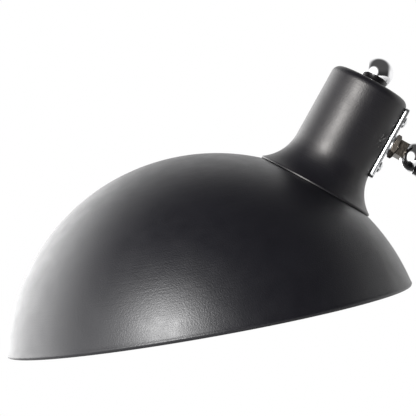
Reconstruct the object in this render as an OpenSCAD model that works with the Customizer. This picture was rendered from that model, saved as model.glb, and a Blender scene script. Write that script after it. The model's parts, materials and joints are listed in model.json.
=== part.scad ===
/* [Shade] */
// Outer radius of the sphere that the dome is a cap of
dome_r = 133; // [110:1:150]
// Height of the rim plane above the sphere's centre
rim_h = 28; // [15:1:40]
// Thickness of the spun steel dome and neck
sheet = 1.2; // [0.8:0.1:2]
// Lean of the dome's axis away from the neck's axis
shade_lean = 39.1; // [30:0.1:42]

/* [Neck] */
// Outer radius of the neck's straight part
neck_r = 26.3; // [25:0.1:30]
// Outer radius of the flared foot
foot_r = 38.6; // [36:0.1:42]
// Radius of the hollow curve between the neck and its foot
flare_r = 27.6; // [24:0.1:32]
// Height where the straight part starts, above the sphere's centre
flare_top = 151.7; // [150:0.1:155]
// Height of the flat top, above the sphere's centre
neck_top = 202.3; // [200:0.1:206]
// Rounding of the neck's top edge
top_round = 5; // [3:0.5:6]

/* [Bracket] */
// Height of the stem's axis above the sphere's centre
bracket_h = 174.2; // [172:0.1:178]
// Length of the bracket plate
plate_l = 49; // [46:1:56]
// Width of the plate
plate_w = 14; // [12:0.5:20]
// Radius of the plate's corners
plate_corner = 2.5; // [1:0.5:6]
// Thickness of the plate
plate_t = 2.5; // [1.5:0.5:3]
// Distance between the two plate screws
screw_gap = 31.8; // [30:0.1:34]
// Radius of the stem's hollow stud, an M10 lamp thread
stud_r = 5; // [4.5:0.1:5.2]
// Width of the stem's square shank
shank_w = 10; // [9:0.5:11]

/* [Swivel] */
// Distance from the neck's axis to the swivel ball's centre
ball_reach = 46.2; // [45:0.1:48]
// Radius of the swivel ball
ball_r = 9.6; // [9.4:0.1:9.8]
// Outer radius of the cup behind the ball
cup_r = 10.2; // [10:0.1:11]

/* [Arms] */
// Length of each arm between its two joints
arm_l = 300; // [240:5:360]
// Outer radius of the arm tubes
tube_r = 8; // [8:0.5:9]
// Slope of the upper arm below the horizontal, from the head to the elbow
arm_drop = 29.05; // [15:0.05:40]
// Lean of the lower arm away from the vertical
lower_lean = 37.7; // [25:0.1:45]

/* [Base] */
// Radius of the round base
base_r = 100; // [90:1:120]
// Height of the base's flat top
base_h = 22; // [20:1:30]
// Height of the lower pivot above the table
pivot_h = 72; // [70:1:90]

/* [Hidden] */
$fn = 96;
eps = 0.01;

// Running clearance of the pivots, and the gap that other moving faces keep
fit = 0.05;
gap = 0.3;

// The three joint centres
pivot_pos = [0, 0, pivot_h];
elbow_pos = pivot_pos + arm_l * [sin(lower_lean), 0, cos(lower_lean)];
ball_pos = elbow_pos + arm_l * [-cos(arm_drop), 0, sin(arm_drop)];

// Pivot hardware: M6 bolt through a fork and a tongue
bolt_r = 3;
ear_r = 13;
ear_t = 4;
ear_l = 20;
slot_l = 16;
fork_gap = 9;
tongue_t = 7;
disc_t = 0.85;
washer_t = 1.2;
fork_l = 34;
tongue_l = 30;
spigot_l = 16;
tube_bore = tube_r - 1.2;
ferrule_r = tube_r + 0.8;

// Plate and nut stack on the neck's side, as distances from the neck's axis
plate_out = neck_r + plate_t;
washer_out = plate_out + 1;
stem_washer_r = 6.9;
nut_out = washer_out + 3.6;
nut_af = 14;
shank_turn = 11;
stud_in = 19.8;
screw_r = 2;
screw_in = 20.9;

// Cup, seat and pull rod along the arm, from the ball's centre
cup_low = 2.6;
seat_r = 8.7;
seat_low = 4;
floor_low = 10;
tube_start = 12.6;
cup_spigot = 9.4;
spring_room_r = 6;
collar_r = 9.3;
rod_r = 1.6;
rod_head_r = 4.7;
rod_nut_z = 14.2;
rod_nut_h = 4;
ball_bore = 4.8;
ball_slot_r = 4.2;
stem_tip = 5.4;
wire_r = 2;

// Neck opening and lampholder, as heights above the sphere's centre
throat_r = 27.5;
flare_x = neck_r + flare_r;
nipple_r = 5;
ring_screw_r = 1.5;
ring_screw_at = 30.5;
ring_screws = 3;
knob_r = 9.9;
knob_h = 7.3;
holder_r = 19.3;
holder_low = 130;
holder_mid = 166;
holder_top = 188;
holder_boss = 5.5;
cap_low = 124.5;
bulb_r = 30;
bulb_c = 75;
glass_neck_r = 15;
glass_t = 0.8;

// Base stack, as heights above the table
pad_t = 2;
plate_top = 4;
weight_top = 20;
cover_sheet = 1.2;
column_r = 8;
column_low = 8.8;
bush_r = 12;
switch_at = [0, -62];
base_screw_at = 60;
base_screws = 4;
inlet_r = 5;
inlet_h = 11;
cord_r = 3.2;

// ---------- frames ----------

// Z along the lower arm, from its pivot to the elbow
module lower_frame() translate(pivot_pos) rotate([0, lower_lean, 0]) children();

// Z along the upper arm, from the elbow to the swivel ball
module upper_frame() translate(elbow_pos) rotate([0, arm_drop - 90, 0]) children();

// Z along the upper arm, from the swivel ball to the elbow
module socket_frame() translate(ball_pos) rotate([0, 90 + arm_drop, 0]) children();

// Z along the neck's axis, +X from the neck to the bracket, origin at the dome sphere's centre
module neck_frame() translate(ball_pos) rotate([0, arm_drop, 0])
    translate([-ball_reach, 0, -bracket_h]) children();

// Z outwards along the stem, from the neck's axis to the ball
module stem_frame() neck_frame() translate([0, 0, bracket_h]) rotate([0, 90, 0]) children();

// Z along the dome's own axis
module dome_frame() neck_frame() rotate([0, -shade_lean, 0]) children();

// ---------- shared shapes ----------

module tube(r_out, r_in, low, high) translate([0, 0, low]) difference() {
    cylinder(r = r_out, h = high - low);
    translate([0, 0, -1]) cylinder(r = r_in, h = high - low + 2);
}

// Hexagonal bar whose corners are turned off at both ends
module hex_bar(across, height) intersection() {
    cylinder(r = across / 2 / cos(30), h = height, $fn = 6);
    rotate_extrude() polygon([[0, 0], [across / 2 - 0.2, 0], [across / 2 / cos(30) + 0.1, 0.9],
        [across / 2 / cos(30) + 0.1, height - 0.9], [across / 2 - 0.2, height], [0, height]]);
}

module hex_nut(across, height, hole_r) difference() {
    hex_bar(across, height);
    translate([0, 0, -1]) cylinder(r = hole_r, h = height + 2);
}

// Pan head with a cross recess, seat at zero, top at height
module pan_head(r, height) {
    side = height * 0.45;
    crown = height - side;
    crown_r = (r * r + crown * crown) / (2 * crown);
    difference() {
        rotate_extrude() intersection() {
            square([r, height]);
            translate([0, height - crown_r]) circle(r = crown_r);
        }
        for (turn = [0, 90]) rotate([0, 0, turn])
            translate([-r * 0.55, -r * 0.11, height * 0.45]) cube([r * 1.1, r * 0.22, height]);
    }
}

module side_plate(y0, y1) translate([0, y1, 0]) rotate([90, 0, 0])
    linear_extrude(height = y1 - y0) children();

// Fork with its pivot at the origin, its ears upwards and its arm going down
module fork() {
    half = fork_gap / 2 + ear_t;
    difference() {
        intersection() {
            side_plate(-half, half) union() {
                circle(r = ear_r);
                translate([-ear_r, -ear_l]) square([2 * ear_r, ear_l]);
            }
            translate([0, 0, -ear_l - 1]) cylinder(r = ear_r, h = ear_l + ear_r + 2);
        }
        side_plate(-fork_gap / 2, fork_gap / 2)
            translate([-ear_r - 1, -slot_l]) square([2 * ear_r + 2, slot_l + ear_r + 2]);
        rotate([90, 0, 0]) cylinder(r = bolt_r, h = 2 * half + 2, center = true);
    }
    translate([0, 0, -fork_l]) cylinder(r = ferrule_r, h = fork_l - ear_l);
}

// Flat eye with its pivot at the origin and its arm going up into a tube
module eye() {
    r = ear_r - 1;
    difference() {
        union() {
            side_plate(-tongue_t / 2, tongue_t / 2) {
                circle(r = r);
                translate([-tube_r * 0.85, 0]) square([tube_r * 1.7, tongue_l - 6]);
            }
            translate([0, 0, tongue_l - 7]) cylinder(r = ferrule_r, h = 7);
            translate([0, 0, tongue_l - eps]) cylinder(r = tube_bore, h = spigot_l);
        }
        rotate([90, 0, 0]) cylinder(r = bolt_r + fit, h = tongue_t + 2, center = true);
    }
}

// Pivot hardware, along Y: button-head bolt at the front and domed nut behind
pivot_half = fork_gap / 2 + ear_t;

module pivot_bolt() color("silver") {
    seat = pivot_half + washer_t;
    rotate([90, 0, 0]) difference() {
        union() {
            translate([0, 0, seat]) rotate_extrude() intersection() {
                square([5.6, 3.4]);
                translate([0, -4.6]) circle(r = 8);
            }
            translate([0, 0, -seat - 7]) cylinder(r = bolt_r, h = 2 * seat + 7 + eps);
        }
        translate([0, 0, seat + 1.4]) cylinder(r = 2.3, h = 4, $fn = 6);
    }
}

module pivot_washers() color("gainsboro") for (side = [-1, 1])
    rotate([90 * side, 0, 0]) tube(6.2, bolt_r, pivot_half, pivot_half + washer_t);

module pivot_nut() color("silver") translate([0, pivot_half + washer_t, 0]) rotate([-90, 0, 0])
    difference() {
        union() {
            hex_bar(10, 5);
            translate([0, 0, 4.6]) intersection() {
                sphere(r = 4.7);
                cylinder(r = 5, h = 5);
            }
        }
        translate([0, 0, -1]) cylinder(r = bolt_r, h = 8);
    }

module friction_discs() color("dimgray") for (side = [-1, 1]) rotate([90 * side, 0, 0])
    tube(ear_r - 2, bolt_r + fit, fork_gap / 2 - disc_t, fork_gap / 2);

// ---------- base ----------

module base_pad() color("dimgray") cylinder(r = base_r - 4, h = pad_t);

module base_plate() color("silver") difference() {
    translate([0, 0, pad_t]) cylinder(r = base_r - cover_sheet - 0.2, h = plate_top - pad_t);
    for (i = [0 : base_screws - 1]) rotate([0, 0, 45 + i * 360 / base_screws])
        translate([base_screw_at, 0, pad_t]) base_screw(0.1);
}

module base_weight() color("gray") difference() {
    translate([0, 0, plate_top]) cylinder(r = base_r - 12, h = weight_top - plate_top);
    translate([0, 0, plate_top - 1]) cylinder(r = bush_r, h = weight_top);
    translate([switch_at[0], switch_at[1], plate_top - 1]) cylinder(r = 11, h = weight_top);
    for (i = [0 : base_screws - 1]) rotate([0, 0, 45 + i * 360 / base_screws])
        translate([base_screw_at, 0, plate_top - 1]) cylinder(r = 2, h = 12);
    // Channel for the wires, from the inlet to the column and the switch
    translate([0, -4, plate_top - 1]) cube([base_r, 8, 12]);
    translate([-4, switch_at[1], plate_top - 1]) cube([8, -switch_at[1], 8]);
}

module base_cover() color("#2a2a2d") {
    edge_r = 7;
    difference() {
        rotate_extrude() difference() {
            union() {
                translate([0, pad_t]) square([base_r, base_h - edge_r - pad_t]);
                square_top = base_h - edge_r;
                translate([0, square_top - eps]) square([base_r - edge_r, edge_r + eps]);
                translate([base_r - edge_r, square_top]) circle(r = edge_r);
            }
            translate([-1, pad_t - 1]) square([base_r - cover_sheet + 1, base_h - edge_r - pad_t + 1]);
            translate([-1, base_h - edge_r - eps]) square([base_r - edge_r + 1, edge_r - cover_sheet + eps]);
            translate([base_r - edge_r, base_h - edge_r]) circle(r = edge_r - cover_sheet);
        }
        translate([0, 0, base_h - 5]) cylinder(r = bush_r, h = 10);
        translate([switch_at[0], switch_at[1], base_h - 5]) cylinder(r = 9.5, h = 10);
        translate([base_r - 5, 0, inlet_h]) rotate([0, 90, 0]) cylinder(r = inlet_r, h = 10);
    }
}

// Countersunk screw, seat at zero, grown by a clearance where it cuts its own hole
module base_screw(clear) {
    translate([0, 0, -clear]) cylinder(r1 = 3.9 + clear, r2 = 2 + clear, h = 1.9 + clear);
    cylinder(r = 2 + clear, h = 10);
}

module base_screws() color("silver") for (i = [0 : base_screws - 1])
    rotate([0, 0, 45 + i * 360 / base_screws]) translate([base_screw_at, 0, pad_t]) base_screw(0);

module column_bush() color("goldenrod") {
    tube(bush_r, column_r + fit, 9, base_h);
    tube(bush_r + 4, column_r + fit, base_h, base_h + 3);
}

module inlet_bush() color("#202022") translate([0, 0, inlet_h]) rotate([0, 90, 0]) {
    tube(inlet_r, cord_r, base_r - 9, base_r);
    tube(inlet_r + 2.2, cord_r, base_r, base_r + 2.5);
    tube(inlet_r + 1.2, cord_r, base_r - 9 - 1.5, base_r - 9);
}

module switch_body() color("#202022") translate([switch_at[0], switch_at[1], 0]) {
    difference() {
        union() {
            translate([0, 0, 6]) cylinder(r = 9.5, h = base_h - 6);
            translate([0, 0, base_h]) rotate_extrude() intersection() {
                square([11.5, 1.6]);
                union() {
                    translate([9.9, 0]) circle(r = 1.6);
                    square([9.9, 1.6]);
                }
            }
        }
        translate([0, 0, 8]) cylinder(r = 8.2, h = 20);
    }
}

module switch_button() color("#3a3a3d") translate([switch_at[0], switch_at[1], 0]) difference() {
    translate([0, 0, 12]) cylinder(r = 7.9, h = 15);
    translate([0, 0, 27 + 22]) sphere(r = 22.8);
}

// ---------- column ----------

module column() color("silver") {
    foot_z = base_h + 3 + 0.2;
    translate([0, 0, column_low]) cylinder(r = column_r, h = pivot_h - fork_l - column_low + eps);
    translate([0, 0, foot_z]) cylinder(r = 14, h = 3);
    translate([0, 0, foot_z + 3 - eps]) cylinder(r1 = 14, r2 = column_r, h = 3);
    translate([0, 0, pivot_h]) fork();
}

module column_washer() color("gainsboro") tube(11, 2.5, column_low - 2, column_low);

module column_screw() color("silver") {
    translate([0, 0, column_low - 4]) cylinder(r = 4.2, h = 2);
    translate([0, 0, column_low - 2 - eps]) cylinder(r = 2.5, h = 2 + eps);
}

module lower_pivot_bolt() translate(pivot_pos) pivot_bolt();
module lower_pivot_washers() translate(pivot_pos) pivot_washers();
module lower_pivot_nut() translate(pivot_pos) pivot_nut();
module lower_friction_discs() translate(pivot_pos) friction_discs();

// ---------- lower arm ----------

module lower_eye() color("silver") lower_frame() eye();

module lower_tube() color("#2a2a2d") lower_frame() tube(tube_r, tube_bore, tongue_l, arm_l - fork_l);

module elbow_fork() color("silver") lower_frame() translate([0, 0, arm_l]) {
    fork();
    translate([0, 0, -fork_l - spigot_l]) cylinder(r = tube_bore, h = spigot_l + eps);
}

module elbow_bolt() translate(elbow_pos) pivot_bolt();
module elbow_washers() translate(elbow_pos) pivot_washers();
module elbow_nut() translate(elbow_pos) pivot_nut();
module elbow_friction_discs() translate(elbow_pos) friction_discs();

// ---------- upper arm ----------

module elbow_eye() color("silver") upper_frame() eye();

module upper_tube() color("#2a2a2d") upper_frame() tube(tube_r, tube_bore, tongue_l, arm_l - tube_start);

module socket_collar() color("silver") socket_frame() difference() {
    high = tube_start + cup_spigot;
    rotate_extrude() polygon([[0, tube_start], [collar_r, tube_start], [collar_r, high - 0.6],
        [collar_r - 0.6, high], [0, high]]);
    translate([0, 0, tube_start - 1]) cylinder(r = tube_r, h = cup_spigot + 2);
}

// Cup that the ball turns in, with a floor for the pull rod and a spigot for the tube
module socket_housing() color("silver") socket_frame() rotate_extrude() difference() {
    union() {
        polygon([[0, cup_low], [cup_r - 0.3, cup_low], [cup_r, cup_low + 0.3],
            [cup_r, tube_start - 0.5], [cup_r - 0.5, tube_start], [0, tube_start]]);
        translate([0, tube_start - eps]) square([tube_bore, cup_spigot + eps]);
    }
    circle(r = ball_r + gap);
    translate([0, seat_low]) square([seat_r + fit, floor_low - seat_low]);
    square([rod_r + fit, tube_start + 1]);
    translate([0, tube_start]) square([spring_room_r, cup_spigot + 1]);
    translate([-20, -20]) square([20, 60]);
}

// ---------- swivel ----------

module swivel_seat() color("ivory") socket_frame() rotate_extrude() difference() {
    translate([0, seat_low + fit]) square([seat_r, floor_low - seat_low - 2 * fit]);
    circle(r = ball_r + fit);
    square([ball_slot_r, floor_low]);
}

// Rod whose round head sits inside the ball and pulls it into the cup
module pull_rod() color("silver") socket_frame() {
    intersection() {
        sphere(r = rod_head_r);
        translate([0, 0, -3]) cylinder(r = rod_head_r + 1, h = 3 + rod_head_r);
    }
    cylinder(r = rod_r, h = rod_nut_z + rod_nut_h + 2);
}

module rod_nut() color("silver") socket_frame() translate([0, 0, rod_nut_z])
    hex_nut(8, rod_nut_h, rod_r);

// Conical spring washer between the cup's floor and the nut
module socket_spring() color("silver") socket_frame() rotate_extrude()
    polygon([[rod_r + 0.1, rod_nut_z - 0.4], [5.4, tube_start], [5.4, tube_start + 0.4],
        [rod_r + 0.1, rod_nut_z]]);

// ---------- head: ball, stem and bracket ----------

module swivel_ball() color("silver") stem_frame() translate([0, 0, ball_reach])
    rotate_extrude() difference() {
        circle(r = ball_r);
        translate([0, -ball_r - 1]) square([ball_bore, ball_r + 1]);
        circle(r = rod_head_r + fit);
        square([ball_slot_r, ball_r + 1]);
        translate([-20, -20]) square([20, 40]);
    }

module ball_stem() color("#8d857c") stem_frame() difference() {
    union() {
        translate([0, 0, stud_in]) cylinder(r = stud_r, h = nut_out - stud_in + eps);
        difference() {
            rotate([0, 0, -shank_turn]) translate([-shank_w / 2, -shank_w / 2, nut_out])
                cube([shank_w, shank_w, ball_reach - 5 - nut_out]);
            translate([0, 0, ball_reach]) sphere(r = ball_r);
        }
        translate([0, 0, ball_reach - ball_r - 1]) cylinder(r = ball_bore, h = ball_r + 1 - stem_tip);
    }
    translate([0, 0, stud_in - 1]) cylinder(r = wire_r, h = ball_reach);
}

module stem_nut() color("#9a928a") stem_frame() translate([0, 0, washer_out])
    hex_nut(nut_af, nut_out - washer_out, stud_r);

module stem_washer() color("silver") stem_frame() tube(stem_washer_r, stud_r, plate_out, washer_out);

module stem_inner_nut() color("silver") stem_frame() translate([0, 0, stud_in + 0.6])
    hex_nut(nut_af, 3.4, stud_r);

module bracket_plate() color("gainsboro") stem_frame() difference() {
    along = plate_l / 2 - plate_corner;
    across = plate_w / 2 - plate_corner;
    translate([0, 0, neck_r]) linear_extrude(height = plate_t) union() {
        square([plate_l, 2 * across], center = true);
        square([2 * along, plate_w], center = true);
        for (x = [-along, along], y = [-across, across]) translate([x, y]) circle(r = plate_corner);
    }
    translate([0, 0, neck_r - 1]) cylinder(r = stud_r, h = plate_t + 2);
    for (side = [-1, 1]) translate([side * screw_gap / 2, 0, neck_r - 1])
        cylinder(r = screw_r, h = plate_t + 2);
}

module bracket_screws() color("silver") stem_frame()
    for (side = [-1, 1]) translate([side * screw_gap / 2, 0, 0]) {
        translate([0, 0, plate_out]) rotate([0, 0, 20 + 30 * side]) pan_head(3.7, 2.4);
        translate([0, 0, screw_in]) cylinder(r = screw_r, h = plate_out - screw_in + eps);
    }

module bracket_nuts() color("silver") stem_frame()
    for (side = [-1, 1]) translate([side * screw_gap / 2, 0, screw_in + 0.5])
        hex_nut(7, 3.2, screw_r);

// ---------- head: neck and dome ----------

// Half section of the neck, grown by an offset: zero for its outside, minus the sheet for its inside
module neck_section(grow) {
    r = neck_r + grow;
    corner = top_round + grow;
    top = neck_top + grow;
    low = 120;
    difference() {
        translate([0, low]) square([foot_r + grow * 0.8, top - low]);
        translate([flare_x, flare_top]) circle(r = flare_r - grow);
        translate([r, flare_top]) square([foot_r, foot_r * 2]);
        translate([r - corner, top - corner]) difference() {
            square([corner + 1, corner + 1]);
            circle(r = corner);
        }
    }
}

module shade_neck() color("#2a2a2d") neck_frame() difference() {
    rotate([0, 0, 100]) rotate_extrude() difference() {
        neck_section(0);
        neck_section(-sheet);
    }
    sphere(r = dome_r, $fn = 240);
    cylinder(r = nipple_r, h = neck_top + 10);
    translate([0, 0, bracket_h]) rotate([0, 90, 0]) {
        cylinder(r = stud_r, h = 40);
        for (side = [-1, 1]) translate([side * screw_gap / 2, 0, 0]) cylinder(r = screw_r, h = 40);
    }
}

module shade_dome() color("#2a2a2d") difference() {
    dome_frame() rotate_extrude($fn = 240) {
        rim_r = sqrt(dome_r * dome_r - rim_h * rim_h);
        bead_r = 1.1;
        intersection() {
            difference() {
                circle(r = dome_r);
                circle(r = dome_r - sheet);
            }
            translate([0, rim_h]) square([dome_r, dome_r]);
        }
        translate([rim_r - 1, rim_h]) circle(r = bead_r, $fn = 32);
    }
    neck_frame() {
        cylinder(r = throat_r, h = 200);
        for (i = [0 : ring_screws - 1]) rotate([0, 0, i * 360 / ring_screws])
            translate([ring_screw_at, 0, 0]) cylinder(r = ring_screw_r, h = 200);
    }
}

// Ring brazed inside the neck's foot, tapped for the screws that hold the dome
module foot_ring() color("silver") neck_frame() difference() {
    rotate_extrude() difference() {
        translate([throat_r, 125]) square([6, 8.4]);
        circle(r = dome_r, $fn = 240);
        translate([flare_x, flare_top]) circle(r = flare_r + sheet);
    }
    for (i = [0 : ring_screws - 1]) rotate([0, 0, i * 360 / ring_screws])
        translate([ring_screw_at, 0, 0]) cylinder(r = ring_screw_r, h = 200);
}

module foot_screws() color("silver") neck_frame() for (i = [0 : ring_screws - 1])
    rotate([0, 0, i * 360 / ring_screws]) translate([ring_screw_at, 0, 127.2]) {
        rotate([180, 0, 0]) pan_head(2.8, 1.8);
        cylinder(r = ring_screw_r, h = 5.5);
    }

// ---------- head: lampholder ----------

module nipple() color("silver") neck_frame() tube(nipple_r, 3.5, holder_top - 3, neck_top + knob_h);

module nipple_nut() color("silver") neck_frame() translate([0, 0, neck_top - sheet - 3.5])
    hex_nut(nut_af, 3.5, nipple_r);

module ball_knob() color("silver") neck_frame() difference() {
    translate([0, 0, neck_top + knob_h]) sphere(r = knob_r);
    cylinder(r = 20, h = neck_top);
    translate([0, 0, neck_top - 1]) cylinder(r = nipple_r, h = knob_h + 1.5);
}

module holder_cap() color("#1f1f21") neck_frame() rotate_extrude() difference() {
    union() {
        translate([0, holder_mid]) square([18.3, 14]);
        translate([0, holder_mid + 13]) square([10, 9]);
        translate([10, holder_top - 8.3]) circle(r = 8.3);
        translate([0, holder_top - 1]) square([7.5, holder_boss + 1]);
    }
    translate([-1, holder_mid - 1]) square([17, 15]);
    translate([-1, holder_mid]) square([10, 20]);
    translate([8, holder_top - 8.3]) circle(r = 7);
    square([nipple_r, 300]);
    translate([-300, 0]) square([300, 300]);
}

module holder_shell() color("#1f1f21") neck_frame() {
    tube(holder_r, 17.6, holder_low, holder_mid);
    tube(holder_r + 0.8, holder_r, holder_low, holder_low + 3);
}

module holder_core() color("white") neck_frame() {
    tube(17.6, 2, 152, holder_mid);
    tube(17.6, 14.2, holder_low + 1, 152);
}

// Screw shell: a brass tube with rolled thread ridges inside
module holder_thread() color("gold") neck_frame() rotate_extrude() union() {
    translate([13.7, 131.5]) square([0.5, 20.5]);
    for (i = [0 : 4]) translate([13.7, 134 + i * 3.6]) circle(r = 0.45, $fn = 24);
}

module centre_contact() color("gold") neck_frame() rotate([90, 0, 0])
    linear_extrude(height = 5, center = true) polygon([[-10, 151.4], [-10, 152], [-6, 152],
        [-1, 150.6], [5, 150.6], [5, 150], [-1.2, 150], [-6.4, 151.4]]);

// ---------- head: bulb ----------

// Half section of the bulb's glass, shrunk by an inset for its inside
module glass_section(inset) {
    fillet_r = 30;
    neck_reach = glass_neck_r + fillet_r;
    fillet_z = bulb_c + sqrt(pow(bulb_r + fillet_r, 2) - pow(neck_reach, 2));
    share = bulb_r / (bulb_r + fillet_r);
    touch = [neck_reach * share, bulb_c + (fillet_z - bulb_c) * share];
    translate([0, bulb_c]) circle(r = bulb_r - inset);
    difference() {
        translate([0, touch[1]]) square([touch[0] - inset * 0.7, fillet_z - touch[1]]);
        translate([neck_reach, fillet_z]) circle(r = fillet_r + inset);
    }
    translate([0, fillet_z - eps]) square([glass_neck_r - inset, cap_low - fillet_z + eps]);
}

module bulb_glass() color("white", 0.8) neck_frame() rotate_extrude() difference() {
    glass_section(0);
    glass_section(glass_t);
    translate([0, cap_low - 1]) square([glass_neck_r - glass_t, 2]);
    translate([-100, 0]) square([100, 200]);
}

module bulb_cap() color("silver") neck_frame() rotate_extrude() {
    translate([0, cap_low]) square([glass_neck_r - 1.4, 2]);
    translate([0, cap_low + 2 - eps]) square([12.6, 20.5]);
    for (i = [0 : 4]) translate([12.4, 130.2 + i * 3.6]) circle(r = 0.7, $fn = 24);
    polygon([[0, 146.9], [12.6, 146.9], [6, 149.2], [0, 149.2]]);
}

module bulb_contact() color("silver") neck_frame() translate([0, 0, 149.2]) cylinder(r = 4.5, h = 0.8);

// ---------- draw ----------

base_pad();
base_plate();
base_weight();
base_cover();
base_screws();
column_bush();
inlet_bush();
switch_body();
switch_button();
column();
column_washer();
column_screw();
lower_pivot_bolt();
lower_pivot_washers();
lower_pivot_nut();
lower_friction_discs();
lower_eye();
lower_tube();
elbow_fork();
elbow_bolt();
elbow_washers();
elbow_nut();
elbow_friction_discs();
elbow_eye();
upper_tube();
socket_collar();
socket_housing();
swivel_seat();
pull_rod();
rod_nut();
socket_spring();
swivel_ball();
ball_stem();
stem_nut();
stem_washer();
stem_inner_nut();
bracket_plate();
bracket_screws();
bracket_nuts();
shade_neck();
shade_dome();
foot_ring();
foot_screws();
nipple();
nipple_nut();
ball_knob();
holder_cap();
holder_shell();
holder_core();
holder_thread();
centre_contact();
bulb_glass();
bulb_cap();
bulb_contact();
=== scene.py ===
"""Looks of the architect desk lamp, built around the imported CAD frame."""

import json
import math

import bpy
from mathutils import Matrix, Vector


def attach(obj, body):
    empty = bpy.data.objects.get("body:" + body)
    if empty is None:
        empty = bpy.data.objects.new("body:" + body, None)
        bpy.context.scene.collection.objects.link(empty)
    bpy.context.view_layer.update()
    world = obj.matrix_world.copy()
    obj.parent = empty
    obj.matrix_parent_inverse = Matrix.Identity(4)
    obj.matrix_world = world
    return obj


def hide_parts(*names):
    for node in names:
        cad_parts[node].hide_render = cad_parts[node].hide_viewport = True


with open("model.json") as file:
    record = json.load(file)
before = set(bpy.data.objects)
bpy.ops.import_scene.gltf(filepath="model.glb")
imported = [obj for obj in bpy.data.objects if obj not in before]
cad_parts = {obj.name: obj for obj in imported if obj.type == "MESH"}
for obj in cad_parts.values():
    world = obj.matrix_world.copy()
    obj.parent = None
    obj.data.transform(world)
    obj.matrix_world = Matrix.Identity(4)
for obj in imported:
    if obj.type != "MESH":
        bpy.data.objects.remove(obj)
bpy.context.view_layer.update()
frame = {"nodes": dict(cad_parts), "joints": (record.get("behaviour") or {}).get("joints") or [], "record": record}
nodes = frame["nodes"]
MM = 0.001

# ------------------------------------------------- dimensions in millimetres, as in the CAD

# shade and neck, heights above the centre of the dome's sphere
SHADE_LEAN = math.radians(39.1)
DOME_R = 133.0
RIM_H = 28.0
SHEET = 1.2
NECK_R = 26.3
FOOT_R = 38.6
FLARE_R = 27.6
FLARE_TOP = 151.7
NECK_TOP = 202.3
TOP_ROUND = 5.0
THROAT_R = 27.5
NIPPLE_HOLE_R = 5.2
KNOB_R = 9.9
KNOB_H = 7.3
KNOB_BORE_R = 5.0
KNOB_BORE_L = 7.0

# bracket plate
BRACKET_H = 174.2
PLATE_L = 49.0
PLATE_W = 14.0
PLATE_CORNER = 2.5
PLATE_T = 2.5

# ball, cup and collar, distances along the arm from the ball's centre
BALL_REACH = 46.2
BALL_R = 9.6
BALL_BORE = 4.8
BALL_SLOT = 4.2
BALL_GAP = 0.3
CUP_R = 10.2
CUP_LOW = 2.6
CUP_MOUTH_R = 9.55
CUP_FLOOR = 10.0
CUP_SPIGOT = 9.4
SEAT_R = 8.75
SEAT_LOW = 4.0
SPRING_ROOM_R = 6.0
ROD_HOLE_R = 1.65
TUBE_START = 12.6
COLLAR_R = 9.3

# arms
ARM_L = 300.0
TUBE_R = 8.0
TUBE_BORE = 6.8
TONGUE_L = 30.0
FORK_L = 34.0

# base
BASE_R = 100.0
BASE_H = 22.0
BASE_EDGE = 7.0
PAD_R = BASE_R - 4
PAD_T = 2.0
COLUMN_HOLE_R = 8.05
BUSH_R = 12.0
BUSH_LOW = 9.0
BUSH_FLANGE_R = BUSH_R + 4
BUSH_FLANGE_T = 3.0
SWITCH_AT = (0.0, -62.0)
SWITCH_R = 9.5
SWITCH_BORE = 8.2
BUTTON_R = 7.9
INLET_H = 11.0
INLET_R = 5.0
INLET_BORE = 3.2

# bulb and lampholder, heights above the centre of the dome's sphere
BULB_R = 30.0
BULB_C = 75.0
GLASS_NECK_R = 15.0
GLASS_T = 0.8
CAP_LOW = 124.5
HOLDER_R = 19.3
HOLDER_BORE = 17.6
HOLDER_LOW = 130.0
HOLDER_MID = 166.0
HOLDER_LIP = 0.8
HOLDER_LIP_H = 3.0

joints = {j["name"]: j for j in frame["joints"]}
BALL = Vector(joints["head_spin"]["pos_m"])
ARM = Vector(joints["head_spin"]["axis"]).normalized()
ELBOW = Vector(joints["elbow_tilt"]["pos_m"])
PIVOT = Vector(joints["lower_arm_tilt"]["pos_m"])
SIDE = Vector((0, 1, 0))


def axes_matrix(origin, x, y, z):
    """Rigid matrix of a local frame with these axes."""
    m = Matrix((x, y, z)).transposed().to_4x4()
    m.translation = origin
    return m


def along(origin, direction):
    """Local frame with Z along a direction in the arm plane, and Y across it."""
    z = direction.normalized()
    return axes_matrix(origin, SIDE.cross(z), SIDE, z)


NECK_AXIS = ARM.cross(SIDE)
NECK_BASE = BALL - ARM * BALL_REACH * MM
SPHERE = NECK_BASE - NECK_AXIS * BRACKET_H * MM
neck_frame = axes_matrix(SPHERE, ARM, SIDE, NECK_AXIS)
stem_frame = axes_matrix(NECK_BASE, -NECK_AXIS, SIDE, ARM)
dome_frame = neck_frame @ Matrix.Rotation(-SHADE_LEAN, 4, "Y")
socket_frame = along(BALL, ARM)
upper_frame = along(ELBOW, BALL - ELBOW)
lower_frame = along(PIVOT, ELBOW - PIVOT)
base_frame = Matrix.Identity(4)

# ------------------------------------------------- camera, in metres

CAMERA_AZIMUTH = math.radians(1.92)
CAMERA_ELEVATION = math.radians(0.5)
CAMERA_DISTANCE = 0.9532
# where the camera aims, from the centre of the dome's sphere
AIM_RIGHT = -0.0057
AIM_UP = 0.0981
LENS = 129.8
SENSOR = 36.0


def make_camera():
    """Camera that looks at the shade almost square to the plane of the arms."""
    right = Vector((math.cos(CAMERA_AZIMUTH), math.sin(CAMERA_AZIMUTH), 0))
    back = Vector((math.sin(CAMERA_AZIMUTH), -math.cos(CAMERA_AZIMUTH), 0))
    back *= math.cos(CAMERA_ELEVATION)
    back.z = math.sin(CAMERA_ELEVATION)
    up = back.cross(right)
    aim = SPHERE + right * AIM_RIGHT + up * AIM_UP
    data = bpy.data.cameras.new("camera")
    data.lens = LENS
    data.sensor_width = SENSOR
    data.clip_start = 0.05
    camera = bpy.data.objects.new("camera", data)
    bpy.context.scene.collection.objects.link(camera)
    camera.matrix_world = Matrix((right, up, back)).transposed().to_4x4()
    camera.location = aim + back * CAMERA_DISTANCE
    bpy.context.scene.camera = camera


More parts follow.
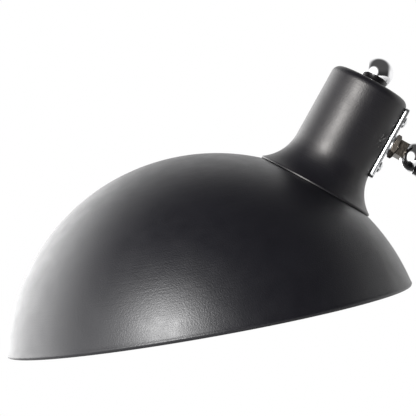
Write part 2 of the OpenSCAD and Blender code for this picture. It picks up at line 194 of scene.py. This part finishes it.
make_camera()

# ------------------------------------------------- materials, with lengths in metres

# the range that most of a noise's values lie in
NOISE_SPAN = (0.3, 0.7)
# period of the paint's grain and of its turned lines, and how long the lines are in periods
PAINT_GRAIN = 0.0008
PAINT_LINES = (60, 60, 1)
BUMP_DEPTH = 0.0002
METAL_BUMP_DEPTH = 0.0001


class Shader:
    """A node material built round one Principled BSDF, in object coordinates."""

    def __init__(self, name, **values):
        self.material = bpy.data.materials.new(name)
        self.material.use_nodes = True
        self.tree = self.material.node_tree
        self.bsdf = self.tree.nodes["Principled BSDF"]
        self.coords = self.tree.nodes.new("ShaderNodeTexCoord").outputs["Object"]
        for key, value in values.items():
            self.bsdf.inputs[key.replace("_", " ")].default_value = value

    def node(self, kind, **inputs):
        made = self.tree.nodes.new(kind)
        for key, value in inputs.items():
            socket = made.inputs[key.replace("_", " ")]
            if isinstance(value, bpy.types.NodeSocket):
                self.tree.links.new(value, socket)
            else:
                socket.default_value = value
        return made

    def noise(self, period, stretch=(1, 1, 1), detail=2.0, rough=0.5, lean=0.0):
        """Noise with features about one period across, longer along a stretched axis."""
        turn = self.node("ShaderNodeMapping", Vector=self.coords, Rotation=(0, lean, 0))
        place = self.node("ShaderNodeMapping", Vector=turn.outputs[0],
                          Scale=[1 / s for s in stretch])
        made = self.node("ShaderNodeTexNoise", Vector=place.outputs[0], Scale=1 / period,
                         Detail=detail, Roughness=rough)
        return made.outputs[0]

    def spread(self, value, low, high):
        """A noise spread over the range from low to high."""
        made = self.node("ShaderNodeMapRange", Value=value)
        made.inputs["From Min"].default_value = NOISE_SPAN[0]
        made.inputs["From Max"].default_value = NOISE_SPAN[1]
        made.inputs["To Min"].default_value = low
        made.inputs["To Max"].default_value = high
        return made.outputs[0]

    def colour(self, value, low, high, span=NOISE_SPAN):
        """Base colour that goes from low to high as the value goes through its span."""
        ramp = self.tree.nodes.new("ShaderNodeValToRGB")
        for element, position, shade in zip(ramp.color_ramp.elements, span, (low, high)):
            element.position = position
            element.color = (*shade, 1)
        self.tree.links.new(value, ramp.inputs[0])
        self.tree.links.new(ramp.outputs[0], self.bsdf.inputs["Base Color"])

    def roughness(self, value):
        self.tree.links.new(value, self.bsdf.inputs["Roughness"])

    def bump(self, heights, depth=BUMP_DEPTH):
        """Bump from a list of (height, strength), each as deep as depth."""
        last = None
        for height, strength in heights:
            made = self.node("ShaderNodeBump", Height=height, Strength=strength, Distance=depth)
            if last:
                self.tree.links.new(last, made.inputs["Normal"])
            last = made.outputs[0]
        self.tree.links.new(last, self.bsdf.inputs["Normal"])


def paint(name, line_strength=0.2, rough=(0.36, 0.41), tint=(1, 1, 1, 1), lean=0.0):
    """Satin black powder coat: fine grain over faint turned lines, round Z or a leaning axis."""
    s = Shader(name, Metallic=0.0, IOR=1.5)
    s.colour(s.noise(0.02, detail=3), (0.0032, 0.0030, 0.0050), (0.0042, 0.0040, 0.0062))
    s.bsdf.inputs["Specular Tint"].default_value = tint
    s.roughness(s.spread(s.noise(0.009), *rough))
    grain = s.noise(PAINT_GRAIN, rough=0.6)
    lines = s.noise(PAINT_GRAIN, stretch=PAINT_LINES, lean=lean)
    s.bump([(grain, 0.5), (lines, line_strength)])
    return s.material


def enamel():
    """White paint of the inside of the shade."""
    s = Shader("white_enamel", IOR=1.5)
    s.colour(s.noise(0.03), (0.80, 0.80, 0.78), (0.84, 0.84, 0.82))
    s.roughness(s.spread(s.noise(0.01), 0.34, 0.42))
    s.bump([(s.noise(0.0012, detail=3), 0.12)])
    return s.material


def metal(name, low, high, rough, grain, stretch=(1, 1, 1), bump=0.05):
    """A metal from its darkest and lightest colour, roughness range, and period of its grain."""
    s = Shader(name, Metallic=1.0)
    pattern = s.noise(grain, stretch=stretch, detail=4)
    s.colour(pattern, low, high)
    s.roughness(s.spread(pattern, *rough))
    s.bump([(pattern, bump)], METAL_BUMP_DEPTH)
    return s.material


def plastic(name, low, high, rough, grain, bump):
    """The same for plastic, rubber, fibre and ceramic."""
    s = Shader(name, IOR=1.48)
    pattern = s.noise(grain, detail=3)
    s.colour(pattern, low, high)
    s.roughness(s.spread(pattern, *rough))
    s.bump([(pattern, bump)])
    return s.material


def opal():
    """Milky glass of the bulb."""
    s = Shader("opal_glass", Transmission_Weight=0.25, IOR=1.5, Coat_Weight=0.5,
               Coat_Roughness=0.05)
    s.colour(s.noise(0.02), (0.86, 0.86, 0.84), (0.90, 0.90, 0.88))
    s.roughness(s.spread(s.noise(0.004), 0.22, 0.30))
    s.bump([(s.noise(0.006), 0.02)])
    return s.material


MATERIALS = {
    "black_paint": paint("black_paint"),
    "dome_paint": paint("dome_paint", lean=SHADE_LEAN),
    "neck_paint": paint("neck_paint", 0.3, rough=(0.39, 0.44), tint=(1, 0.97, 0.94, 1)),
    "white_enamel": enamel(),
    "chrome": metal("chrome", (0.80, 0.80, 0.81), (0.84, 0.84, 0.85), (0.035, 0.07), 0.004,
                    bump=0.01),
    "bright_zinc": metal("bright_zinc", (0.66, 0.67, 0.68), (0.80, 0.81, 0.82), (0.22, 0.34),
                         0.0005, stretch=(6, 1, 1), bump=0.06),
    "nickel": metal("nickel", (0.09, 0.08, 0.07), (0.19, 0.165, 0.14), (0.28, 0.42), 0.0007,
                    stretch=(1, 1, 5), bump=0.15),
    "cast_iron": metal("cast_iron", (0.05, 0.05, 0.05), (0.12, 0.115, 0.11), (0.55, 0.8),
                       0.0015, bump=0.5),
    "rubber": plastic("rubber", (0.018, 0.018, 0.018), (0.034, 0.033, 0.032), (0.6, 0.8),
                      0.0008, 0.35),
    "black_plastic": plastic("black_plastic", (0.012, 0.012, 0.012), (0.02, 0.02, 0.02),
                             (0.28, 0.4), 0.0006, 0.1),
    "fibre": plastic("fibre", (0.10, 0.07, 0.05), (0.16, 0.12, 0.09), (0.6, 0.8), 0.0005, 0.4),
    "nylon": plastic("nylon", (0.72, 0.70, 0.62), (0.80, 0.78, 0.70), (0.35, 0.5), 0.001, 0.08),
    "bronze": metal("bronze", (0.42, 0.27, 0.12), (0.58, 0.40, 0.20), (0.25, 0.4), 0.0006,
                    bump=0.08),
    "ceramic": plastic("ceramic", (0.76, 0.75, 0.71), (0.84, 0.83, 0.79), (0.18, 0.3),
                       0.002, 0.05),
    "brass": metal("brass", (0.66, 0.47, 0.20), (0.80, 0.62, 0.30), (0.16, 0.3), 0.001,
                   bump=0.04),
    "opal_glass": opal(),
    "aluminium": metal("aluminium", (0.68, 0.68, 0.69), (0.80, 0.80, 0.81), (0.2, 0.34),
                       0.0006, bump=0.08),
}

# ------------------------------------------------- mesh tools

# an arc that meets the axis stops just short of it
POLE = 89.9


def arc(centre, radius, start, end, steps):
    """Points of an arc in the (radius, height) plane, by angles in degrees."""
    out = []
    for i in range(steps + 1):
        angle = math.radians(start + (end - start) * i / steps)
        out.append((centre[0] + radius * math.cos(angle), centre[1] + radius * math.sin(angle)))
    return out


def rounded(corners, steps=6):
    """An open outline through corners (r, z, fillet), each corner rounded to its fillet."""
    out = []
    for i, corner in enumerate(corners):
        here = Vector(corner[:2])
        fillet = corner[2] if len(corner) > 2 else 0
        if not fillet:
            out.append(tuple(here))
            continue
        before = (Vector(corners[i - 1][:2]) - here).normalized()
        after = (Vector(corners[i + 1][:2]) - here).normalized()
        half = before.angle(after) / 2
        reach = fillet / math.tan(half)
        middle = here + (before + after).normalized() * (fillet / math.sin(half))
        start = here + before * reach - middle
        end = here + after * reach - middle
        for k in range(steps + 1):
            step = start.lerp(end, k / steps)
            out.append(tuple(middle + step.normalized() * fillet))
    return out


def local_mesh(name, verts, faces):
    """A mesh from points in millimetres."""
    mesh = bpy.data.meshes.new(name)
    mesh.from_pydata([tuple(c * MM for c in v) for v in verts], [], faces)
    return mesh


def make_piece(name, verts, faces, place, body, slot, replaced, sharp=35, material=None):
    """A mesh piece from local points, riding on a body and standing for CAD nodes."""
    mesh = local_mesh(name, verts, faces)
    mesh.validate()
    mesh.shade_smooth()
    mesh.set_sharp_from_angle(angle=math.radians(sharp))
    mesh.materials.append(MATERIALS[material or slot])
    piece = bpy.data.objects.new(name, mesh)
    bpy.context.scene.collection.objects.link(piece)
    piece.matrix_world = place
    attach(piece, body)
    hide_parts(*replaced)
    return piece


def turned_mesh(profile, segments, closed):
    """Points and faces of a profile of (r, z) turned about Z. Points on the axis are shared."""
    verts, rings = [], []
    for r, z in profile:
        if r < 1e-6:
            verts.append((0, 0, z))
            rings.append([len(verts) - 1] * segments)
            continue
        rings.append(list(range(len(verts), len(verts) + segments)))
        for k in range(segments):
            angle = 2 * math.pi * k / segments
            verts.append((r * math.cos(angle), r * math.sin(angle), z))
    pairs = list(zip(rings, rings[1:]))
    if closed:
        pairs.append((rings[-1], rings[0]))
    faces = []
    for low, high in pairs:
        for k in range(segments):
            n = (k + 1) % segments
            loop = []
            for v in (low[k], low[n], high[n], high[k]):
                if v not in loop:
                    loop.append(v)
            if len(loop) > 2:
                faces.append(loop)
    return verts, faces


def turned(name, profile, place, body, slot, replaced, segments=96, closed=True, material=None):
    """A turned piece. Its profile is a loop, or ends on the axis when it isn't closed."""
    verts, faces = turned_mesh(profile, segments, closed)
    return make_piece(name, verts, faces, place, body, slot, replaced, material=material)


# ------------------------------------------------- head


def make_dome():
    """Spherical shell cut by the throat round the neck's axis, with a rolled rim."""
    segments, rows, bead_steps = 240, 72, 20
    bead_r = 1.9
    # the bead ends this far below the CAD's rim plane, and its centre is this far inside the shell
    drop, inset = 0.35, 1.75
    bead_z = RIM_H + bead_r - drop
    axis = (neck_frame.inverted().to_3x3() @ dome_frame.to_3x3()) @ Vector((0, 0, 1))
    bead_c = math.sqrt(DOME_R ** 2 - bead_z ** 2) - inset

    def direction(theta, phi):
        flat = math.sin(theta)
        return Vector((flat * math.cos(phi), flat * math.sin(phi), math.cos(theta)))

    def rim_angle(phi, radius):
        """Angle from the neck's axis to the bead, on a shell of this radius."""
        low, high = 0.1, math.pi * 0.75
        across = math.sqrt(radius ** 2 - bead_z ** 2) - bead_c
        height = bead_z + math.sqrt(bead_r ** 2 - across ** 2)
        for _ in range(40):
            middle = (low + high) / 2
            if direction(middle, phi).dot(axis) * radius > height:
                low = middle
            else:
                high = middle
        return low

    def shell(phi, radius):
        """Points from the throat to the bead."""
        throat = math.asin(THROAT_R / radius)
        reach = rim_angle(phi, radius) - throat
        return [direction(throat + reach * i / rows, phi) * radius for i in range(rows + 1)]

    columns = []
    for k in range(segments):
        phi = 2 * math.pi * k / segments
        outside, inside = shell(phi, DOME_R), shell(phi, DOME_R - SHEET)
        radial = (outside[-1] - axis * outside[-1].dot(axis)).normalized()
        centre = axis * bead_z + radial * bead_c
        first, last = outside[-1] - centre, inside[-1] - centre
        start = math.degrees(math.atan2(first.dot(axis), first.dot(radial)))
        end = math.degrees(math.atan2(last.dot(axis), last.dot(radial))) - 360
        bead = []
        for i in range(1, bead_steps):
            angle = math.radians(start + (end - start) * i / bead_steps)
            bead.append(centre + (radial * math.cos(angle) + axis * math.sin(angle)) * bead_r)
        columns.append([*outside, *bead, *reversed(inside)])
    length = len(columns[0])
    verts = [tuple(v) for column in columns for v in column]
    faces, insides = [], []
    for k in range(segments):
        n = (k + 1) % segments
        for i in range(length):
            j = (i + 1) % length
            faces.append((k * length + i, k * length + j, n * length + j, n * length + i))
            insides.append(i >= rows + bead_steps)
    piece = make_piece("dome_shell", verts, faces, neck_frame, "head", "black_paint",
                       ["shade_dome"], material="dome_paint")
    piece.data.materials.append(MATERIALS["white_enamel"])
    for polygon, inside in zip(piece.data.polygons, insides):
        polygon.material_index = int(inside)


def make_neck():
    """Spun neck: flared foot that rests on the dome, straight barrel, closed top."""
    flare = (NECK_R + FLARE_R, FLARE_TOP)
    shoulder = (NECK_R - TOP_ROUND, NECK_TOP - TOP_ROUND)
    seam_gap, foot_rise, barrel_rows, flat_r = 0.25, 0.6, 6, 12
    # rounding of the foot's edge, the cuts that make its middle points, and its angle on the flare
    edge, low_cut, high_cut, edge_angle = 0.35, 0.1, 0.08, 0.8
    foot_angle = math.degrees(math.acos((flare[0] - FOOT_R) / FLARE_R))
    foot_low = math.sqrt(DOME_R ** 2 - FOOT_R ** 2) + seam_gap
    foot_high = FLARE_TOP - FLARE_R * math.sin(math.radians(foot_angle))
    inner_r = FLARE_R + SHEET
    inner_foot = FOOT_R - SHEET * 0.8
    inner_angle = math.degrees(math.acos((flare[0] - inner_foot) / inner_r))
    profile = [(inner_foot, foot_low + foot_rise), (FOOT_R - edge, foot_low),
               (FOOT_R - low_cut, foot_low + low_cut), (FOOT_R, foot_low + edge),
               (FOOT_R, foot_high - edge), (FOOT_R - high_cut, foot_high - high_cut)]
    profile += arc(flare, FLARE_R, 180 + foot_angle - edge_angle, 180, 40)
    barrel = NECK_TOP - TOP_ROUND - FLARE_TOP
    profile += [(NECK_R, FLARE_TOP + barrel * i / barrel_rows) for i in range(1, barrel_rows)]
    profile += arc(shoulder, TOP_ROUND, 0, 90, 14)
    profile += [(flat_r, NECK_TOP), (NIPPLE_HOLE_R, NECK_TOP), (NIPPLE_HOLE_R, NECK_TOP - SHEET)]
    profile += arc(shoulder, TOP_ROUND - SHEET, 90, 0, 8)
    profile += arc(flare, inner_r, 180, 180 + inner_angle, 24)
    turned("neck_shell", profile, neck_frame, "head", "black_paint", ["shade_neck"], 180,
           material="neck_paint")


def make_ball():
    """Ball nut on the neck's top, bored from below and closed at its pole."""
    edge, edge_angle = 0.3, 2
    low = math.degrees(math.asin(-KNOB_H / KNOB_R))
    foot_r = KNOB_R * math.cos(math.radians(low)) - edge
    profile = [(KNOB_BORE_R, NECK_TOP + KNOB_BORE_L), (KNOB_BORE_R, NECK_TOP), (foot_r, NECK_TOP)]
    profile += arc((0, NECK_TOP + KNOB_H), KNOB_R, low + edge_angle, POLE, 48)
    profile += [(0, NECK_TOP + KNOB_H + KNOB_R)]
    turned("ball_finial", profile, neck_frame, "head", "chrome", ["ball_knob"], 128, closed=False)


def make_plate():
    """Plate with round corners and soft edges, its underside pressed towards the neck's curve."""
    bevel, steps, pressed = 0.22, 6, 0.45
    x, y = PLATE_L / 2 - PLATE_CORNER, PLATE_W / 2 - PLATE_CORNER

    def under(v):
        return NECK_R - pressed * (NECK_R - math.sqrt(NECK_R ** 2 - v ** 2))

    def top(v):
        return NECK_R + PLATE_T

    levels = ((bevel, under, 0), (0, under, bevel), (0, top, -bevel), (bevel, top, 0))
    verts = []
    for inset, height, lift in levels:
        radius = PLATE_CORNER - inset
        end = arc((x, -y), radius, -90, 0, steps)
        end += [(x + radius, y * (2 * i / steps - 1)) for i in range(1, steps)]
        end += arc((x, y), radius, 0, 90, steps)
        outline = end + [(-u, v) for u, v in reversed(end)]
        verts += [(u, v, height(v) + lift) for u, v in outline]
    half = len(end)
    count = 2 * half
    last = len(levels) - 1
    faces = []
    for i in range(last):
        for k in range(count):
            n = (k + 1) % count
            faces.append((i * count + k, i * count + n, (i + 1) * count + n, (i + 1) * count + k))
    for k in range(half - 1):
        strip = (k, k + 1, count - 2 - k, count - 1 - k)
        faces.append(tuple(reversed(strip)))
        faces.append(tuple(last * count + v for v in strip))
    make_piece("plate_face", verts, faces, stem_frame, "head", "bright_zinc", ["bracket_plate"],
               sharp=65)


def make_swivel():
    """Ball with the pull rod's cavity, the cup it turns in, and the collar round the tube."""
    cavity_r = BALL_BORE - 0.05
    front = math.degrees(math.acos(BALL_BORE / BALL_R))
    back = math.degrees(math.acos(BALL_SLOT / BALL_R))
    cavity = math.degrees(math.acos(BALL_SLOT / cavity_r))
    ball = arc((0, 0), BALL_R, -front, back, 72)
    ball += arc((0, 0), cavity_r, cavity, 0, 8) + [(BALL_BORE, -0.1)]
    turned("swivel_ball_shell", ball, socket_frame, "head", "chrome", ["swivel_ball"], 128)
    room_r = BALL_R + BALL_GAP
    high = TUBE_START + CUP_SPIGOT
    lip = math.degrees(math.asin(SEAT_LOW / room_r))
    low = math.degrees(math.asin(CUP_LOW / room_r))
    cup = rounded([(CUP_MOUTH_R, CUP_LOW), (CUP_R, CUP_LOW, 0.25), (CUP_R, TUBE_START, 0.5),
                   (TUBE_BORE, TUBE_START)])
    cup += [(TUBE_BORE, high), (SPRING_ROOM_R, high), (SPRING_ROOM_R, TUBE_START),
            (ROD_HOLE_R, TUBE_START), (ROD_HOLE_R, CUP_FLOOR),
            (SEAT_R, CUP_FLOOR), (SEAT_R, SEAT_LOW + 0.7)]
    cup += arc((0, 0), room_r, lip, low, 4)
    turned("swivel_cup", cup, socket_frame, "upper_arm", "chrome", ["socket_housing"], 128)
    collar = rounded([(TUBE_R, TUBE_START), (COLLAR_R, TUBE_START, 0.3), (COLLAR_R, high, 0.6),
                      (TUBE_R, high)])
    turned("arm_collar", collar, socket_frame, "upper_arm", "chrome", ["socket_collar"], 128)


def make_tubes():
    """The two arm tubes, each from a tongue to what its far end is fixed to."""
    for name, place, end, body, node in (
            ("lower_arm_tube", lower_frame, ARM_L - FORK_L, "lower_arm", "lower_tube"),
            ("upper_arm_tube", upper_frame, ARM_L - TUBE_START, "upper_arm", "upper_tube")):
        wall = rounded([(TUBE_BORE, TONGUE_L), (TUBE_R, TONGUE_L, 0.25), (TUBE_R, end, 0.25),
                        (TUBE_BORE, end)])
        turned(name, wall, place, body, "black_paint", [node])


def make_bulb():
    """Globe of the bulb with its hollow neck, and the lampholder's outer shell."""
    fillet = 30.0
    reach = GLASS_NECK_R + fillet
    fillet_z = BULB_C + math.sqrt((BULB_R + fillet) ** 2 - reach ** 2)
    touch = math.degrees(math.asin((fillet_z - BULB_C) / (BULB_R + fillet)))

    def outline(inset):
        out = arc((0, BULB_C), BULB_R - inset, -POLE, touch, 72)
        out += arc((reach, fillet_z), fillet + inset, 180 + touch, 180, 24)[1:]
        return out + [(GLASS_NECK_R - inset, CAP_LOW)]

    glass = outline(0) + list(reversed(outline(GLASS_T)))
    turned("bulb_bowl", glass, neck_frame, "head", "opal_glass", ["bulb_glass"])
    lip_r, lip_top = HOLDER_R + HOLDER_LIP, HOLDER_LOW + HOLDER_LIP_H
    shell = rounded([(HOLDER_BORE, HOLDER_LOW), (lip_r, HOLDER_LOW, 0.4), (lip_r, lip_top, 0.3),
                     (HOLDER_R, lip_top, 0.2), (HOLDER_R, HOLDER_MID, 0.3),
                     (HOLDER_BORE, HOLDER_MID)])
    turned("holder_skirt", shell, neck_frame, "head", "black_plastic", ["holder_shell"])


# ------------------------------------------------- base


def cut_hole(piece, centre, radius, turn):
    """Cut a round hole through a sheet, along a turned Z."""
    reach = 8
    verts, faces = turned_mesh([(0, -reach), (radius, -reach), (radius, reach), (0, reach)],
                               64, False)
    cutter = bpy.data.objects.new("hole", local_mesh("hole", verts, faces))
    bpy.context.scene.collection.objects.link(cutter)
    cutter.matrix_world = Matrix.Translation([c * MM for c in centre]) @ turn
    bpy.context.view_layer.update()
    cut = piece.modifiers.new("hole", "BOOLEAN")
    cut.object = cutter
    cut.solver = "EXACT"
    graph = bpy.context.evaluated_depsgraph_get()
    made = bpy.data.meshes.new_from_object(piece.evaluated_get(graph))
    piece.modifiers.clear()
    piece.data = made
    bpy.data.objects.remove(cutter)


def make_cover():
    """Spun base cover with holes for the column's bush, the switch and the lead."""
    inner_r = BASE_R - SHEET
    edge_z = BASE_H - BASE_EDGE
    edge = (BASE_R - BASE_EDGE, edge_z)
    # rings that keep the faces of the flat top short
    near, far = 30, 60
    cover = [(r, BASE_H) for r in (BUSH_R, near, far)]
    cover += arc(edge, BASE_EDGE, 90, 0, 16)
    cover += rounded([(BASE_R, edge_z - 1), (BASE_R, PAD_T, 0.4), (inner_r, PAD_T),
                      (inner_r, edge_z)])
    cover += arc(edge, BASE_EDGE - SHEET, 0, 90, 12)[1:]
    cover += [(far, BASE_H - SHEET), (BUSH_R, BASE_H - SHEET)]
    piece = turned("cover_shell", cover, base_frame, "base", "black_paint", ["base_cover"], 240)
    cut_hole(piece, (*SWITCH_AT, BASE_H), SWITCH_R, Matrix.Identity(4))
    cut_hole(piece, (BASE_R, 0, INLET_H), INLET_R, Matrix.Rotation(math.pi / 2, 4, "Y"))
    piece.data.set_sharp_from_angle(angle=math.radians(35))


def make_fittings():
    """Rubber pad, the column's bush and the lead's bush."""
    pad = rounded([(0, 0), (PAD_R, 0, 0.5), (PAD_R, PAD_T, 0.3), (0, PAD_T)])
    turned("rubber_pad", pad, base_frame, "base", "rubber", ["base_pad"], 180, closed=False)
    top = BASE_H + BUSH_FLANGE_T
    bush = rounded([(COLUMN_HOLE_R, BUSH_LOW), (BUSH_R, BUSH_LOW), (BUSH_R, BASE_H),
                    (BUSH_FLANGE_R, BASE_H), (BUSH_FLANGE_R, top, 0.6), (COLUMN_HOLE_R, top)])
    bush.append((COLUMN_HOLE_R, top - 0.4))
    turned("bush_ring", bush, base_frame, "base", "bronze", ["column_bush"], 128)
    lip_r, lip_low, lip_high, flange_r, flange_t = 6.2, -10.5, -9, 7.2, 2.5
    inlet = rounded([(INLET_BORE, lip_low), (lip_r, lip_low), (lip_r, lip_high),
                     (INLET_R, lip_high), (INLET_R, 0), (flange_r, 0), (flange_r, flange_t, 1.0),
                     (INLET_BORE, flange_t)])
    inlet.append((INLET_BORE, flange_t - 1))
    place = along(Vector((BASE_R, 0, INLET_H)) * MM, Vector((1, 0, 0)))
    turned("inlet_ring", inlet, place, "base", "rubber", ["inlet_bush"])


def make_switch():
    """Switch body with its collar over the cover, and the dished push button in it."""
    place = Matrix.Translation(Vector((*SWITCH_AT, 0)) * MM)
    low, floor, collar_t = 6, 8, 1.6
    body = [(SWITCH_BORE, floor), (SWITCH_BORE, BASE_H + collar_t)]
    body += arc((SWITCH_R + 0.4, BASE_H), collar_t, 90, 0, 8)
    body += [(SWITCH_R, BASE_H), (SWITCH_R, low), (0, low), (0, floor)]
    turned("switch_ring", body, place, "base", "black_plastic", ["switch_body"])
    foot, dish_r, dish_z = 12, 22.8, 49
    edge_r = BUTTON_R - 0.3
    edge = dish_z - math.sqrt(dish_r ** 2 - edge_r ** 2)
    start = math.degrees(math.atan2(edge - dish_z, edge_r))
    button = [(0, foot), (BUTTON_R, foot), (BUTTON_R, edge - 0.4), (BUTTON_R - 0.1, edge - 0.1),
              (edge_r, edge)]
    button += arc((0, dish_z), dish_r, start, -90, 12)[1:-1] + [(0, dish_z - dish_r)]
    turned("switch_cap", button, place, "switch", "black_plastic", ["switch_button"],
           closed=False)


make_dome()
make_neck()
make_ball()
make_plate()
make_swivel()
make_tubes()
make_bulb()
make_cover()
make_fittings()
make_switch()

# ------------------------------------------------- CAD nodes that stay, with edges softened

WELD_DISTANCE = 0.00001
EDGE_WIDTH = 0.0002
EDGE_ANGLE = math.radians(40)

for part in frame["record"]["subparts"]:
    node = nodes[part["node"]]
    material = MATERIALS[part["material_slot"]]
    for slot in node.material_slots:
        slot.material = material
    if not len(node.material_slots):
        node.data.materials.append(material)
    node.modifiers.new("weld", "WELD").merge_threshold = WELD_DISTANCE
    bevel = node.modifiers.new("edges", "BEVEL")
    bevel.width = EDGE_WIDTH
    bevel.segments = 2
    bevel.limit_method = "ANGLE"
    bevel.angle_limit = EDGE_ANGLE
    bevel.use_clamp_overlap = True
    node.modifiers.new("normals", "WEIGHTED_NORMAL").keep_sharp = True

# ------------------------------------------------- stage and light, in metres

FLOOR_R = 1.3
# the floor goes from a painted shade near the column to its far grey between these distances from the column
FLOOR_SHADE_FADE = (0.4, 0.95)
FLOOR_PAINTED_SHADE = (0.52, 0.52, 0.52)
FLOOR_FAR = (0.90, 0.90, 0.90)

# levels of the studio's wall behind the lamp, of its ceiling, and of the rest of the room
WALL_LEVEL = 1.05
CEILING_LEVEL = 0.05
ROOM_LEVEL = 0.04
# where wall and ceiling start and are full, and how far each leans on the other directions
WALL_SPAN = (0.15, 0.75)
WALL_WRAP = 0.6
CEILING_SPAN = (0.25, 0.85)
CEILING_LEAN_ACROSS = 0.25
CEILING_LEAN_AWAY = 0.35
# soft cards of the studio: direction from the lamp as (right, away, up), angles in degrees where
# each is full and where it ends, level
CARDS = (
    ((-0.78, 0.60, -0.14), 20, 55, 3.7),
    ((-0.68, -0.72, 0.14), 5, 45, 2.8),
)


def make_floor():
    """Round floor with a painted shade near the lamp, paler away from it."""
    verts, faces = turned_mesh([(0, 0), (FLOOR_R / MM, 0)], 128, False)
    mesh = local_mesh("floor", verts, faces)
    s = Shader("floor", Roughness=0.9)
    reach = s.node("ShaderNodeVectorMath", Vector=s.coords)
    reach.operation = "LENGTH"
    # painted shade: the floor's colour is darker near the column, standing in for shade round the lamp
    s.colour(reach.outputs["Value"], FLOOR_PAINTED_SHADE, FLOOR_FAR, FLOOR_SHADE_FADE)
    mesh.materials.append(s.material)
    floor = bpy.data.objects.new("floor", mesh)
    bpy.context.scene.collection.objects.link(floor)


def make_world():
    """White wall behind the lamp, bright soft cards, and a dark room elsewhere and above."""
    world = bpy.data.worlds.new("studio")
    bpy.context.scene.world = world
    world.use_nodes = True
    tree = world.node_tree
    tree.nodes.clear()

    def add(kind, **settings):
        made = tree.nodes.new(kind)
        for key, value in settings.items():
            setattr(made, key, value)
        return made

    def math_node(operation, *values):
        made = add("ShaderNodeMath", operation=operation)
        for socket, value in zip(made.inputs, values):
            if isinstance(value, bpy.types.NodeSocket):
                tree.links.new(value, socket)
            else:
                socket.default_value = value
        return made.outputs[0]

    def smooth(value, low, high):
        made = add("ShaderNodeMapRange", interpolation_type="SMOOTHSTEP")
        tree.links.new(value, made.inputs["Value"])
        made.inputs["From Min"].default_value = low
        made.inputs["From Max"].default_value = high
        return made.outputs[0]

    def background():
        made = add("ShaderNodeBackground")
        made.inputs["Color"].default_value = (1, 1, 1, 1)
        return made

    coords = add("ShaderNodeTexCoord").outputs["Generated"]
    turn = add("ShaderNodeMapping", vector_type="POINT")
    turn.inputs["Rotation"].default_value = (0, 0, -CAMERA_AZIMUTH)
    tree.links.new(coords, turn.inputs["Vector"])
    split = add("ShaderNodeSeparateXYZ")
    tree.links.new(turn.outputs[0], split.inputs[0])
    across, away, up = split.outputs
    wrap = math_node("MULTIPLY", math_node("ABSOLUTE", across), WALL_WRAP)
    wall = smooth(math_node("ADD", away, wrap), *WALL_SPAN)
    tilted = math_node("ADD", up, math_node("MULTIPLY", across, CEILING_LEAN_ACROSS))
    behind = math_node("MULTIPLY", away, CEILING_LEAN_AWAY)
    ceiling = smooth(math_node("SUBTRACT", tilted, behind), *CEILING_SPAN)
    open_wall = math_node("MULTIPLY", wall, math_node("SUBTRACT", 1.0, ceiling))
    room = math_node("ADD", math_node("MULTIPLY", ceiling, CEILING_LEVEL), ROOM_LEVEL)
    level = math_node("ADD", math_node("MULTIPLY", open_wall, WALL_LEVEL), room)
    for direction, full, end, strength in CARDS:
        facing = add("ShaderNodeVectorMath", operation="DOT_PRODUCT")
        facing.inputs[1].default_value = Vector(direction).normalized()
        tree.links.new(turn.outputs[0], facing.inputs[0])
        span = (math.cos(math.radians(end)), math.cos(math.radians(full)))
        card = smooth(facing.outputs["Value"], *span)
        level = math_node("ADD", level, math_node("MULTIPLY", card, strength))
    # the camera itself sees plain white; everything else sees the studio
    lit, plain = background(), background()
    tree.links.new(level, lit.inputs["Strength"])
    path = add("ShaderNodeLightPath")
    mix = add("ShaderNodeMixShader")
    tree.links.new(path.outputs["Is Camera Ray"], mix.inputs[0])
    tree.links.new(lit.outputs[0], mix.inputs[1])
    tree.links.new(plain.outputs[0], mix.inputs[2])
    tree.links.new(mix.outputs[0], add("ShaderNodeOutputWorld").inputs[0])


def area_light(name, direction, distance, size, power):
    """Softbox seen from the dome in a direction given as (right, up, towards the camera)."""
    right = Vector((math.cos(CAMERA_AZIMUTH), math.sin(CAMERA_AZIMUTH), 0))
    back = Vector((math.sin(CAMERA_AZIMUTH), -math.cos(CAMERA_AZIMUTH), 0))
    aim = right * direction[0] + Vector((0, 0, direction[1])) + back * direction[2]
    aim.normalize()
    data = bpy.data.lights.new(name, "AREA")
    data.shape = "ELLIPSE"
    data.size, data.size_y = size
    data.energy = power
    light = bpy.data.objects.new(name, data)
    bpy.context.scene.collection.objects.link(light)
    light.location = SPHERE + aim * distance
    light.rotation_euler = aim.to_track_quat("Z", "Y").to_euler()


make_floor()
make_world()
area_light("softbox_main", direction=(-0.43, 0.36, 0.83), distance=2.2, size=(0.75, 0.45),
           power=63)

scene = bpy.context.scene
scene.view_settings.view_transform = "Standard"
scene.view_settings.look = "None"
